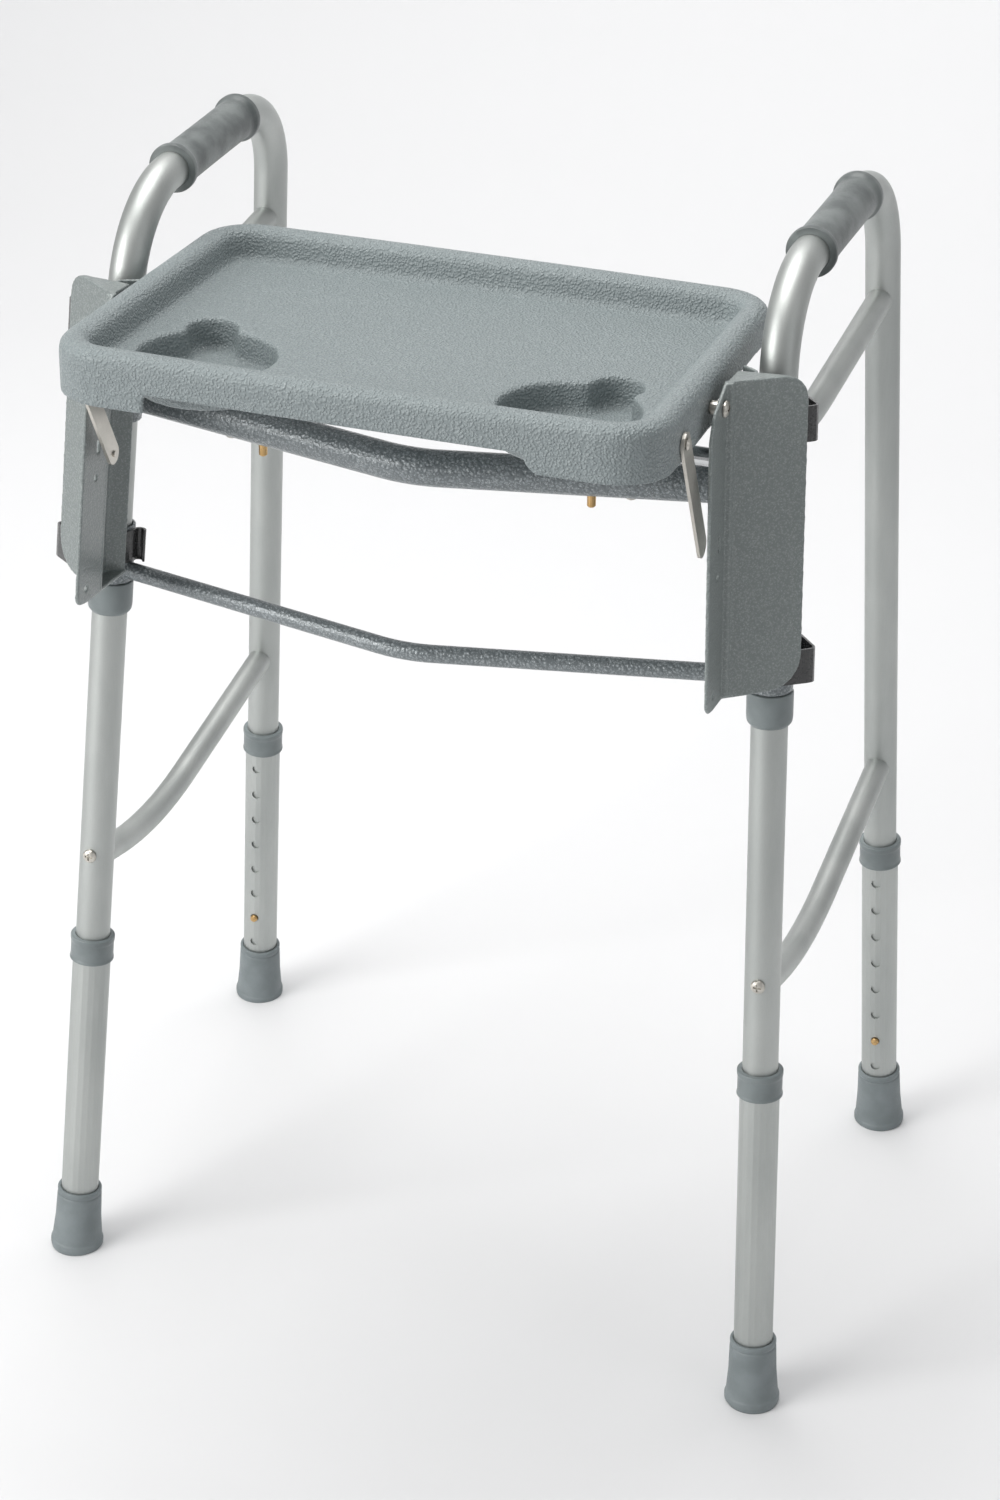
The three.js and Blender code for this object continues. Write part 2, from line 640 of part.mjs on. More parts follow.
// deeper skirt round the two front corners
const skirtBand = cut(
  loft([trayRing(0, END_SKIRT_DEPTH), trayRing(0, SKIRT_DEPTH - 4)]),
  loft([trayRing(TRAY_WALL, END_SKIRT_DEPTH + 5), trayRing(TRAY_WALL, 2)]),
);
const cornerBoxes = [-1, 1].map((s) => {
  const low = TRAY_TOP_Z - 60;
  const high = TRAY_TOP_Z - SKIRT_DEPTH + 6;
  const corner = TRAY_TOP_Z - END_SKIRT_DEPTH - TRAY_TILT * TRAY_FRONT_Y;
  const endSkirtX = TRAY_WIDTH / 2 - END_SKIRT_IN;
  const inner = s > 0 ? endSkirtX - END_SKIRT_R : endSkirtX;
  const outer = TRAY_WIDTH / 2 + 45;
  const face = outlineOf([
    [outer, low, 0], [outer, high, 0], [inner, high, 0],
    [inner, corner, s > 0 ? END_SKIRT_R : 3], [inner + 2 * END_SKIRT_R, corner, 0],
    [inner + 2 * END_SKIRT_R, low, 0],
  ]).map(([x, z]) => [x * s, z]);
  const block = plate(s > 0 ? face : face.reverse(), 300).rotateX(Math.PI / 2);
  return block.translate(0, END_SKIRT_BACK_Y - CENTRE_Y, 0);
});
const endSkirts = cornerBoxes.map((box) => common(skirtBand, box));

// Cup wells: a circle with a smaller one behind it for a mug's handle, run together
// with a fillet on each side. An outline moved in by inset keeps the same centres.
const cup = V(TRAY_WIDTH / 2 - CUP_IN, CUP_Y, 0);
const handle = V(TRAY_WIDTH / 2 - CUP_HANDLE_IN, CUP_HANDLE_Y, 0);
function cupOutline(inset) {
  const between = handle.clone().sub(cup);
  const d = between.length();
  const [r1, r2, r3] = [CUP_R - inset, CUP_HANDLE_R - inset, CUP_FILLET_R + inset];
  const [a, b] = [CUP_R + CUP_FILLET_R, CUP_HANDLE_R + CUP_FILLET_R];
  const along = (d * d + a * a - b * b) / (2 * d);
  const off = Math.sqrt(a * a - along * along);
  const u = between.normalize();
  const w = V(-u.y, u.x, 0);
  const fillets = [1, -1].map((s) =>
    cup.clone().addScaledVector(u, along).addScaledVector(w, s * off));
  const angle = (from, to) => Math.atan2(to.y - from.y, to.x - from.x);
  const pts = [];
  const run = (c, r, from, to, steps) => {
    for (let k = 0; k < steps; k++) {
      const t = from + ((to - from) * k) / steps;
      pts.push([c.x + r * Math.cos(t), c.y + r * Math.sin(t)]);
    }
  };
  const up = (from, to) => (to < from ? to + 2 * Math.PI : to);
  const down = (from, to) => (to > from ? to - 2 * Math.PI : to);
  const [left, right] = fillets;
  const c1 = angle(cup, left);
  run(cup, r1, c1, up(c1, angle(cup, right)), 20);
  const c2 = angle(right, cup);
  run(right, r3, c2, down(c2, angle(right, handle)), 4);
  const c3 = angle(handle, right);
  run(handle, r2, c3, up(c3, angle(handle, left)), 9);
  const c4 = angle(left, handle);
  run(left, r3, c4, down(c4, angle(left, cup)), 4);
  return pts;
}
// rings of [inset, drop below the rim]
function cupSolid(rings) {
  return loft(rings.map(([inset, drop]) => cupOutline(inset).map(([x, y]) =>
    V(x, y - CENTRE_Y, TRAY_TOP_Z - drop - TRAY_TILT * (y - PIVOT_Y)))));
}
const cupLow = FLOOR_DEPTH + CUP_DEPTH;
const wells = bothSides(cupSolid([
  [5, cupLow], [2.2, cupLow - 1.6], [1, cupLow - 4], [0, FLOOR_DEPTH + 2.5],
  [-1.2, FLOOR_DEPTH + 0.4], [-2.6, FLOOR_DEPTH - 0.2], [-2.8, FLOOR_DEPTH - 3],
]));
const wellShells = bothSides(cupSolid([
  [4, cupLow + TRAY_WALL], [-TRAY_WALL + 1.8, cupLow + 1.4], [-TRAY_WALL, cupLow - 4],
  [-TRAY_WALL, FLOOR_DEPTH + 1],
]));
// a boss on each side wall takes the pivot and the stay's rivet
const traySide = TRAY_WIDTH / 2;
const boss = (y, z, r) =>
  rod(r, 0, 14, 20).rotateY(-Math.PI / 2).translate(traySide - 0.8, y - CENTRE_Y, z);
const bosses = bothSides(join(boss(PIVOT_Y, PIVOT_Z, 8))).concat(
  bothSides(boss(STAY_TOP[0], STAY_TOP[1], 7)),
);
const boreAt = (y, z, r) =>
  rod(r, -12, 8, 20).rotateY(Math.PI / 2).translate(traySide, y - CENTRE_Y, z);
const tray = cut(
  join(shell, ...endSkirts, ...wellShells, ...bosses),
  ...wells,
  ...bothSides(boreAt(PIVOT_Y, PIVOT_Z, PIVOT_D / 2 + 0.3)),
  ...bothSides(boreAt(STAY_TOP[0], STAY_TOP[1], PIVOT_D / 2 - 0.2)),
);
add("tray", tray, "tray_plastic");

// ---- brackets ----
// the strip in front of the fold, seen from the side: (y, z) outline in the leg frame
const stayEnd = onPlate(...STAY_BOTTOM).applyMatrix4(intoLeg);
const [bottom, top] = [BRACKET_BOTTOM, BRACKET_TOP];
const stripOutline = outlineOf([
  [-WING_AT + 1, bottom + 2, 0], [-WING_AT + 1, top, 0], [-WING_AT - 2, top, 3],
  [-PLATE_FRONT + 8, top - 14, 8], [-PLATE_FRONT, top - 30, 6],
  [-PLATE_FRONT, bottom + 4, 8], [-PLATE_FRONT + 14, bottom + 2, 6],
]);
const stripHoles = [
  [-PLATE_FRONT + 20, stayEnd.z - 18, 2.2], [-PLATE_FRONT + 13, bottom + 13, 2.4],
];
// a plate drawn in (y, z) stands in the plane x = const, thick towards +x
const standing = (outline, t, x, list) =>
  plate(outline, t, list).rotateX(Math.PI / 2).rotateZ(Math.PI / 2).translate(x, 0, 0);
const slotHole = new THREE.BoxGeometry(12, 4.6, 10)
  .translate(-PLATE_X, -PLATE_FRONT + 22, stayEnd.z + 4);
const frontStrip = standing(stripOutline, PLATE_T, -PLATE_X - PLATE_T, stripHoles);

// wing: from the inner plate outwards and back, its free corners rounded
const sweepAngle = rad(WING_SWEEP);
const wingOutline = outlineOf([
  [0, bottom + 2, 0], [WING_WIDTH, bottom + 4, 24], [WING_WIDTH, top, 16], [0, top, 0],
]);
const wing = plate(wingOutline, PLATE_T)
  .rotateX(Math.PI / 2)
  .rotateZ(sweepAngle)
  .translate(-PLATE_X - 1.2, -WING_AT, 0);
// the pan: a wall set back behind the fold, with a slanted rear side and a floor
const panX = -PLATE_X + PAN_DEPTH;
const rimX = -PLATE_X - PLATE_T / 2;
const wingBackAt = (x) => -WING_AT + (x - rimX) * Math.tan(sweepAngle);
const panLine = rounded([
  V(panX, wingBackAt(panX) - 1, 0), V(panX, -PLATE_REAR - PAN_RIM, 0), V(rimX, -PLATE_REAR, 0),
], [PAN_BEND_R], 5);
const panWall = strip(panLine.map((p) => [p.x, p.y]), PLATE_T, top - bottom - 3.5)
  .translate(0, 0, bottom + 2.5);
const panFloor = plate([
  [-PLATE_X - PLATE_T, -WING_AT - 1], [panX, wingBackAt(panX) - 1],
  [panX, -PLATE_REAR - PAN_RIM], [rimX - 0.4, -PLATE_REAR + 0.6], [-PLATE_X - PLATE_T, -PLATE_REAR],
], PLATE_T).translate(0, 0, bottom + 2.2);
// top lip closes the corner between them
const lipBack = -WING_AT + 25;
const reach = 25 / Math.tan(sweepAngle);
const lip = plate(
  [[-PLATE_X - 1, -WING_AT], [-PLATE_X - 1 + reach, lipBack], [-PLATE_X - 1, lipBack]], PLATE_T,
).translate(0, 0, top - PLATE_T);
const fillet = rod(3.4, bottom + 4, top - 0.5, 16).translate(-PLATE_X + 0.6, -WING_AT - 0.6, 0);

// the pivot's and the spreader rod's holes run along X
const alongX = (radius, p) =>
  rod(radius, -PAN_DEPTH, 2 * PAN_DEPTH, 20).rotateY(Math.PI / 2).translate(p.x, p.y, p.z);
const rodAt = onPlate(ROD_Y, ROD_Z);
const bracket = cut(
  front(cut(join(frontStrip, wing, panWall, panFloor, lip, fillet), slotHole)),
  alongX(PIVOT_D / 2 + 0.35, pivotAt),
  alongX(ROD_D / 2 + 0.5, rodAt),
);
pair("tray_bracket", bracket, "grey_hammertone");

// spring clip: a U from the back of the wing that grips the leg and flares open behind it
function clip(radius, z) {
  const grip = radius + CLIP_GAP + CLIP_T / 2;
  const stand = (PLATE_X + 1.2) * -Math.sin(sweepAngle) + WING_AT * Math.cos(sweepAngle);
  const base = -stand + 0.2 + CLIP_T / 2;
  const hug = 36;
  const half = [[0, base], [grip - 5, base]];
  for (const a of [30, 60, 90]) {
    half.push([grip - 4 + 4 * Math.sin(rad(a)), base + 4 - 4 * Math.cos(rad(a))]);
  }
  for (let a = 0; a <= hug; a += 12) {
    half.push([grip * Math.cos(rad(a)), grip * Math.sin(rad(a))]);
  }
  for (let a = hug - 20; a >= hug - 180; a -= 20) {
    const r = CLIP_FLARE_R;
    half.push([
      (grip + r) * Math.cos(rad(hug)) - r * Math.cos(rad(a)),
      (grip + r) * Math.sin(rad(hug)) - r * Math.sin(rad(a)),
    ]);
  }
  const other = half.slice(1).map(([x, y]) => [-x, y]).reverse();
  return strip([...other, ...half], CLIP_T, CLIP_HEIGHT)
    .rotateZ(sweepAngle)
    .translate(0, 0, z - CLIP_HEIGHT / 2);
}
pair("clip_upper", front(clip(LEG_OD / 2, UPPER_CLIP_Z)), "spring_steel_black");
pair("clip_lower", front(clip(SLEEVE_OD / 2, LOWER_CLIP_Z)), "spring_steel_black");

// chrome spreader rod between the brackets
const rodEnd = rodAt.x + PAN_DEPTH + 3;
add(
  "spreader_rod",
  rod(ROD_D / 2, -rodEnd, rodEnd, SEG).rotateY(Math.PI / 2).translate(0, rodAt.y, rodAt.z),
  "plated_steel",
);

// pivot screw: head outside the plate, spacer between plate and tray
const pivotX = pivotAt.x;
const pivotScrew = join(
  slottedHead(5.6, 3).rotateY(Math.PI / 2).translate(pivotX + 0.5, 0, 0),
  rod(PIVOT_D / 2, traySide - 8, pivotX + 0.8, 16).rotateY(Math.PI / 2),
  rod(4.6, traySide + 0.4, pivotX - PLATE_T - 0.5, 16).rotateY(Math.PI / 2),
).translate(0, PIVOT_Y - CENTRE_Y, PIVOT_Z);
pair("tray_pivot", pivotScrew, "plated_steel");

// stay: flat bar from the tray's side down to the bracket
{
  const [ay, az] = STAY_TOP;
  const [by, bz] = STAY_BOTTOM;
  const length = Math.hypot(by - ay, bz - az);
  const w = STAY_WIDTH / 2;
  const outline = outlineOf([
    [-w, -w, w - 0.1], [w, -w, w - 0.1], [w, length + w, w - 0.1], [-w, length + w, w - 0.1],
  ]);
  const x0 = traySide + 0.5;
  const bar = plate(outline, STAY_T, [[0, 0, PIVOT_D / 2 + 0.3]])
    .rotateX(Math.PI / 2)
    .rotateZ(Math.PI / 2)
    .rotateX(Math.atan2(ay - by, bz - az))
    .translate(x0, ay - CENTRE_Y, az);
  const pin = turned([
    [0, 0], [3.4, 0], [3.8, 0.5], [3.8, 1], [2.2, 1.2], [2.2, 2.4], [0, 2.4],
  ], 16).rotateY(-Math.PI / 2).translate(x0 + 1.2, by - CENTRE_Y, bz);
  pair("stay", join(bar, pin), "plated_steel");
  const rivetHead = turned([
    [0, -6], [PIVOT_D / 2 - 0.3, -6], [PIVOT_D / 2 - 0.3, STAY_T + 0.8], [4.2, STAY_T + 0.8],
    [2.8, STAY_T + 2.2], [0, STAY_T + 2.5],
  ], 16).rotateY(Math.PI / 2).translate(x0, ay - CENTRE_Y, az);
  pair("stay_rivet", rivetHead, "plated_steel");
}

for (const mesh of group.children) {
  mesh.geometry.computeVertexNormals();
}

export default group;
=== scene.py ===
import math
import bmesh
import bpy
from mathutils import Matrix, Vector


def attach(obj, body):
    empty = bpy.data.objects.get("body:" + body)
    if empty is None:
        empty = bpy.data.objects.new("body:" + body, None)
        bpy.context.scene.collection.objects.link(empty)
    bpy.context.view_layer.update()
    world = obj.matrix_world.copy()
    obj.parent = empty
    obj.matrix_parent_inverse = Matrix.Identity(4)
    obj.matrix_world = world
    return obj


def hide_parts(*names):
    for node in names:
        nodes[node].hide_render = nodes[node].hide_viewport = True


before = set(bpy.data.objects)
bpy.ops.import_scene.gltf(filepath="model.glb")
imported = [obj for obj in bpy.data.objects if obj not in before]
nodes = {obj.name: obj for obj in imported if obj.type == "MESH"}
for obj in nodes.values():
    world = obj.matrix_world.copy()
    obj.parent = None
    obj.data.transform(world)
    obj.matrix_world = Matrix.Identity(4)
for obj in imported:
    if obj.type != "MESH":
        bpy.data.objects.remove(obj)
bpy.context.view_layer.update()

SIDES = (("r", 1), ("l", -1))
ENDS = ("front", "rear")

# Studio. A pale sweep of paper under soft overhead light, and a long lens
# from the front right, well above the tray.
CAMERA_AT = Vector((0.70305, -2.03175, 1.5968))
CAMERA_AZIMUTH = math.radians(18.551)
CAMERA_ELEVATION = math.radians(28.707)
CAMERA_ROLL = math.radians(1.002)
CAMERA_LENS, CAMERA_SENSOR, CAMERA_REACH = 79.86, 36, 50


def point_camera():
    az, el = CAMERA_AZIMUTH, CAMERA_ELEVATION
    back = Vector((math.sin(az) * math.cos(el), -math.cos(az) * math.cos(el), math.sin(el)))
    right = Vector((math.cos(az), math.sin(az), 0))
    up = back.cross(right)
    c, s = math.cos(CAMERA_ROLL), math.sin(CAMERA_ROLL)
    right, up = c * right + s * up, c * up - s * right
    data = bpy.data.cameras.new("camera")
    data.lens = CAMERA_LENS
    data.sensor_width = CAMERA_SENSOR
    data.clip_end = CAMERA_REACH
    camera = bpy.data.objects.new("camera", data)
    bpy.context.collection.objects.link(camera)
    turn = Matrix((right, up, back)).transposed().to_4x4()
    camera.matrix_world = Matrix.Translation(CAMERA_AT) @ turn
    bpy.context.scene.camera = camera


def soft_light(name, place, aim, size, power, colour):
    data = bpy.data.lights.new(name, "AREA")
    data.shape = "RECTANGLE"
    data.size, data.size_y = size
    data.energy = power
    data.color = colour
    lamp = bpy.data.objects.new(name, data)
    bpy.context.collection.objects.link(lamp)
    lamp.location = place
    way = Vector(aim) - Vector(place)
    lamp.rotation_euler = way.to_track_quat("-Z", "Y").to_euler()


point_camera()
soft_light("light_overhead", (-0.5, 0.3, 3.2), (0, 0.15, 0.4), (2.4, 2.0), 66, (1, 0.995, 0.98))
soft_light("light_left", (-2.1, -2.3, 1.8), (0, 0, 0.65), (1.8, 2.2), 84, (1, 0.995, 0.98))
soft_light("light_right", (2.7, -0.8, 1.5), (0, 0, 0.5), (1.2, 2.2), 5, (0.97, 0.985, 1))
soft_light("light_backdrop", (0, 1.4, 3.4), (0, 4.0, 1.6), (3.0, 0.8), 36, (1, 1, 1))

ROOM_COLOUR, ROOM_STRENGTH = (0.945, 0.945, 0.95, 1), 0.47
world = bpy.data.worlds.new("studio")
world.use_nodes = True
room = world.node_tree.nodes["Background"]
room.inputs["Color"].default_value = ROOM_COLOUR
room.inputs["Strength"].default_value = ROOM_STRENGTH
bpy.context.scene.world = world
bpy.context.scene.view_settings.view_transform = "Standard"


# The paper lies flat, then turns up behind in one long curve.
PAPER_FRONT, PAPER_BEND_AT, PAPER_BEND_R, PAPER_TOP = -4.0, 1.6, 2.4, 6.5
PAPER_HALF_WIDTH = 6.0
PAPER_BEND_STEPS = 12
PAPER_COLOUR, PAPER_ROUGHNESS = (0.745, 0.747, 0.756, 1), 0.75


def studio_floor():
    rows = [(PAPER_FRONT, 0.0), (PAPER_BEND_AT, 0.0)]
    for k in range(1, PAPER_BEND_STEPS + 1):
        a = math.radians(90 * k / PAPER_BEND_STEPS)
        rows.append((PAPER_BEND_AT + PAPER_BEND_R * math.sin(a), PAPER_BEND_R * (1 - math.cos(a))))
    rows.append((PAPER_BEND_AT + PAPER_BEND_R, PAPER_TOP))
    verts = [(x, y, z) for y, z in rows for x in (-PAPER_HALF_WIDTH, PAPER_HALF_WIDTH)]
    faces = [(2 * i, 2 * i + 1, 2 * i + 3, 2 * i + 2) for i in range(len(rows) - 1)]
    mesh = bpy.data.meshes.new("studio_floor")
    mesh.from_pydata(verts, [], faces)
    mesh.polygons.foreach_set("use_smooth", [True] * len(faces))
    floor = bpy.data.objects.new("studio_floor", mesh)
    bpy.context.collection.objects.link(floor)
    paper = bpy.data.materials.new("paper")
    paper.use_nodes = True
    shader = paper.node_tree.nodes["Principled BSDF"]
    shader.inputs["Base Color"].default_value = PAPER_COLOUR
    shader.inputs["Roughness"].default_value = PAPER_ROUGHNESS
    mesh.materials.append(paper)


studio_floor()


# Side frames. Each is one 25.4 mm aluminium tube, drawn and satin anodised,
# bent into front leg, top rail and rear leg; both legs lean in and together.
FRONT_FOOT_X, REAR_FOOT_X = 0.2738, 0.2791
LEAN_IN, FRONT_LEAN_BACK, REAR_LEAN_FORWARD = 0.055, 0.0911, 0.0526
FOOT_DEPTH = 0.3833
FRONT_LINE = -0.14235  # the front feet's line, from the middle of the whole frame
TOP_RAIL = 0.834
LEG_END = 0.050
LEG_R = 0.0127
LEG_WALL = 0.0014
BENDS = (0.070, 0.068)
BEND_STEPS, TUBE_FACETS = 22, 48
EDGE_ANGLE = math.radians(38)  # sharper than this stays an edge


def leg_axis(end, side, height):
    if end == "front":
        x = FRONT_FOOT_X - LEAN_IN * height
        return Vector((side * x, FRONT_LINE + FRONT_LEAN_BACK * height, height))
    x = REAR_FOOT_X - LEAN_IN * height
    return Vector((side * x, FRONT_LINE + FOOT_DEPTH - REAR_LEAN_FORWARD * height, height))


def leg_line(end, side):
    """Where a leg's axis meets the floor, and the way it goes up."""
    foot = leg_axis(end, side, 0)
    return foot, (leg_axis(end, side, 1) - foot).normalized()


def rounded_path(points, radii, steps):
    out = [points[0]]
    for before, p, after, r in zip(points, points[1:], points[2:], radii):
        u, v = (before - p).normalized(), (after - p).normalized()
        half = u.angle(v) / 2
        centre = p + (u + v).normalized() * (r / math.sin(half))
        a = p + u * (r / math.tan(half)) - centre
        b = p + v * (r / math.tan(half)) - centre
        turn = a.normalized().slerp
        out += [centre + r * turn(b.normalized(), k / steps) for k in range(steps + 1)]
    return out + [points[-1]]


def rings_mesh(name, rings, closed_line=False):
    """A skin over the rings, joined up end to end or capped."""
    n = len(rings[0])
    verts = [p for ring in rings for p in ring]
    spans = range(len(rings)) if closed_line else range(len(rings) - 1)
    faces = []
    for i in spans:
        j = (i + 1) % len(rings)
        for k in range(n):
            m = (k + 1) % n
            faces.append((i * n + k, i * n + m, j * n + m, j * n + k))
    if not closed_line:
        faces.append(tuple(reversed(range(n))))
        faces.append(tuple(range(len(verts) - n, len(verts))))
    mesh = bpy.data.meshes.new(name)
    mesh.from_pydata([tuple(v) for v in verts], [], faces)
    bm = bmesh.new()
    bm.from_mesh(mesh)
    bmesh.ops.remove_doubles(bm, verts=bm.verts, dist=1e-7)
    bmesh.ops.recalc_face_normals(bm, faces=bm.faces)
    bm.to_mesh(mesh)
    bm.free()
    mesh.polygons.foreach_set("use_smooth", [True] * len(mesh.polygons))
    mesh.set_sharp_from_angle(angle=EDGE_ANGLE)
    return mesh


def place(mesh, material, body, node, slot):
    piece = bpy.data.objects.new(mesh.name, mesh)
    bpy.context.collection.objects.link(piece)
    mesh.materials.clear()
    mesh.materials.append(material)
    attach(piece, body)
    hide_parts(node)
    return piece


def tube_rings(path, normal, radius, facets):
    rings = []
    for i, p in enumerate(path):
        ahead = path[min(i + 1, len(path) - 1)] - p
        behind = p - path[max(i - 1, 0)]
        way = (ahead.normalized() + behind.normalized()).normalized()
        across = normal.cross(way).normalized()
        turns = [2 * math.pi * k / facets for k in range(facets)]
        rings.append([p + radius * (math.cos(a) * across + math.sin(a) * normal) for a in turns])
    return rings


def hollow_tube(name, path, normal, radius, wall, facets):
    outer = tube_rings(path, normal, radius, facets)
    inner = tube_rings(path, normal, radius - wall, facets)
    return rings_mesh(name, outer + inner[::-1], closed_line=True)


# Shader groups that the materials share.
def node_group(name, inputs, outputs):
    tree = bpy.data.node_groups.new(name, "ShaderNodeTree")
    for label, value in inputs:
        socket = tree.interface.new_socket(label, in_out="INPUT", socket_type="NodeSocketFloat")
        socket.default_value = value
    for label, kind in outputs:
        tree.interface.new_socket(label, in_out="OUTPUT", socket_type=kind)
    return tree, tree.nodes.new("NodeGroupInput"), tree.nodes.new("NodeGroupOutput")


def wire(tree, kind, values, **links):
    """A node with its values set, and the sockets named in links joined up."""
    node = tree.nodes.new(kind)
    for key, value in values.items():
        if key in node.inputs:
            node.inputs[key].default_value = value
        else:
            setattr(node, key, value)
    for key, source in links.items():
        tree.links.new(source, node.inputs[key])
    return node


def math_node(tree, operation, a, b):
    node = tree.nodes.new("ShaderNodeMath")
    node.operation = operation
    for socket, value in zip(node.inputs, (a, b)):
        if isinstance(value, (int, float)):
            socket.default_value = value
        else:
            tree.links.new(value, socket)
    return node.outputs[0]


def spread(tree, value, low, high, to_low=0.0, to_high=1.0):
    node = tree.nodes.new("ShaderNodeMapRange")
    node.interpolation_type = "SMOOTHSTEP"
    tree.links.new(value, node.inputs["Value"])
    for key, v in (("From Min", low), ("From Max", high), ("To Min", to_low), ("To Max", to_high)):
        node.inputs[key].default_value = v
    return node.outputs["Result"]


def stretched(tree, coords, scale):
    mapping = tree.nodes.new("ShaderNodeMapping")
    mapping.inputs["Scale"].default_value = scale
    tree.links.new(coords, mapping.inputs["Vector"])
    return mapping.outputs["Vector"]


def blend(tree, share, first, second):
    mix = tree.nodes.new("ShaderNodeMix")
    mix.data_type = "FLOAT"
    mix.inputs[0].default_value = share
    tree.links.new(first, mix.inputs[2])
    tree.links.new(second, mix.inputs[3])
    return mix.outputs[0]


def object_coords(tree):
    return tree.nodes.new("ShaderNodeTexCoord").outputs["Object"]


def drawn_grain_group():
    # fine lines down the tube, and the soft clouding of anodising
    tree, _, out = node_group(
        "drawn_grain", [], [("Grain", "NodeSocketFloat"), ("Cloud", "NodeSocketFloat")]
    )
    coords = object_coords(tree)
    lines = wire(tree, "ShaderNodeTexNoise", {"Scale": 1.0, "Detail": 3.0},
                 Vector=stretched(tree, coords, (1500, 1500, 14)))
    speck = wire(tree, "ShaderNodeTexNoise", {"Scale": 1400.0, "Detail": 2.0}, Vector=coords)
    cloud = wire(tree, "ShaderNodeTexNoise", {"Scale": 22.0, "Detail": 4.0},
                 Vector=stretched(tree, coords, (1, 1, 0.35)))
    grain = blend(tree, 0.5, lines.outputs["Fac"], speck.outputs["Fac"])
    tree.links.new(grain, out.inputs["Grain"])
    tree.links.new(spread(tree, cloud.outputs["Fac"], 0.3, 0.7), out.inputs["Cloud"])
    return tree


def edge_wear_group():
    # raised edges rub lighter, and hollows found by pointiness come out darker
    tree, given, out = node_group(
        "edge_wear", [("Breakup", 60.0)], [("Wear", "NodeSocketFloat"), ("Hollows", "NodeSocketFloat")]
    )
    point = tree.nodes.new("ShaderNodeNewGeometry").outputs["Pointiness"]
    coords = object_coords(tree)
    patches = wire(tree, "ShaderNodeTexNoise", {"Detail": 5.0}, Vector=coords,
                   Scale=given.outputs["Breakup"])
    worn = math_node(tree, "MULTIPLY", spread(tree, point, 0.515, 0.58), patches.outputs["Fac"])
    hollowed = math_node(tree, "MULTIPLY", spread(tree, point, 0.49, 0.43), patches.outputs["Fac"])
    tree.links.new(worn, out.inputs["Wear"])
    tree.links.new(hollowed, out.inputs["Hollows"])
    return tree


DRAWN_GRAIN = drawn_grain_group()
EDGE_WEAR = edge_wear_group()


def start_material(name, **sockets):
    material = bpy.data.materials.new(name)
    material.use_nodes = True
    tree = material.node_tree
    shader = tree.nodes["Principled BSDF"]
    for key, value in sockets.items():
        shader.inputs[key.replace("_", " ")].default_value = value
    return material, tree, shader


def use_group(tree, group, **values):
    node = tree.nodes.new("ShaderNodeGroup")
    node.node_tree = group
    for key, value in values.items():
        node.inputs[key].default_value = value
    return node


def tint(tree, factor, first, second):
    mix = tree.nodes.new("ShaderNodeMix")
    mix.data_type = "RGBA"
    tree.links.new(factor, mix.inputs[0])
    for socket, value in ((mix.inputs[6], first), (mix.inputs[7], second)):
        if isinstance(value, tuple):
            socket.default_value = (*value, 1)
        else:
            tree.links.new(value, socket)
    return mix.outputs[2]


def bumped(tree, shader, height, distance, strength):
    bump = tree.nodes.new("ShaderNodeBump")
    bump.inputs["Distance"].default_value = distance
    bump.inputs["Strength"].default_value = strength
    tree.links.new(height, bump.inputs["Height"])
    tree.links.new(bump.outputs["Normal"], shader.inputs["Normal"])


def roughened(tree, shader, value, low, high, at_low, at_high):
    tree.links.new(spread(tree, value, low, high, at_low, at_high), shader.inputs["Roughness"])


def satin_aluminium(name, light, dark):
    material, tree, shader = start_material(name, Metallic=0.9)
    grain = use_group(tree, DRAWN_GRAIN)
    wear = use_group(tree, EDGE_WEAR, Breakup=90.0)
    colour = tint(tree, grain.outputs["Cloud"], light, dark)
    colour = tint(tree, wear.outputs["Hollows"], colour, (0.30, 0.30, 0.29))
    tree.links.new(colour, shader.inputs["Base Color"])
    roughened(tree, shader, grain.outputs["Grain"], 0.3, 0.7, 0.40, 0.55)
    bumped(tree, shader, grain.outputs["Grain"], 0.00006, 0.7)
    return material


ALUMINIUM = satin_aluminium("satin_aluminium", (0.485, 0.503, 0.490), (0.415, 0.434, 0.424))


def frame_path(side):
    corners = [
        leg_axis("front", side, LEG_END), leg_axis("front", side, TOP_RAIL),
        leg_axis("rear", side, TOP_RAIL), leg_axis("rear", side, LEG_END),
    ]
    normal = (corners[2] - corners[1]).cross(corners[1] - corners[0]).normalized()
    return rounded_path(corners, BENDS, BEND_STEPS), normal


for letter, side in SIDES:
    path, normal = frame_path(side)
    mesh = hollow_tube("frame_tube_" + letter, path, normal, LEG_R, LEG_WALL, TUBE_FACETS)
    place(mesh, ALUMINIUM, "side_" + letter, "side_frame_" + letter, "satin_aluminium")


# Hand grips. A sleeve moulded in grey vinyl over the top rail, slightly waisted,
# with a rounded flange at each end.
GRIP_START, GRIP_LENGTH = 0.072, 0.124
GRIP_FLANGE, GRIP_WAIST = 0.0176, 0.0152
GRIP_BORE_R = LEG_R + 0.0001
GRIP_LIP = 0.0092  # where the flange ends and the waist begins
GRIP_WAIST_STEPS, GRIP_FACETS = 24, 64
RING_FACETS = 56


def turned(name, profile, start, way, facets=RING_FACETS, closed=False):
    """A profile of (radius, distance) turned about the line from start."""
    turn = way.to_track_quat("Z", "Y").to_matrix()
    rings = []
    for r, z in profile:
        ring = []
        for k in range(facets):
            a = 2 * math.pi * k / facets
            ring.append(start + turn @ Vector((r * math.cos(a), r * math.sin(a), z)))
        rings.append(ring)
    return rings_mesh(name, rings, closed_line=closed)


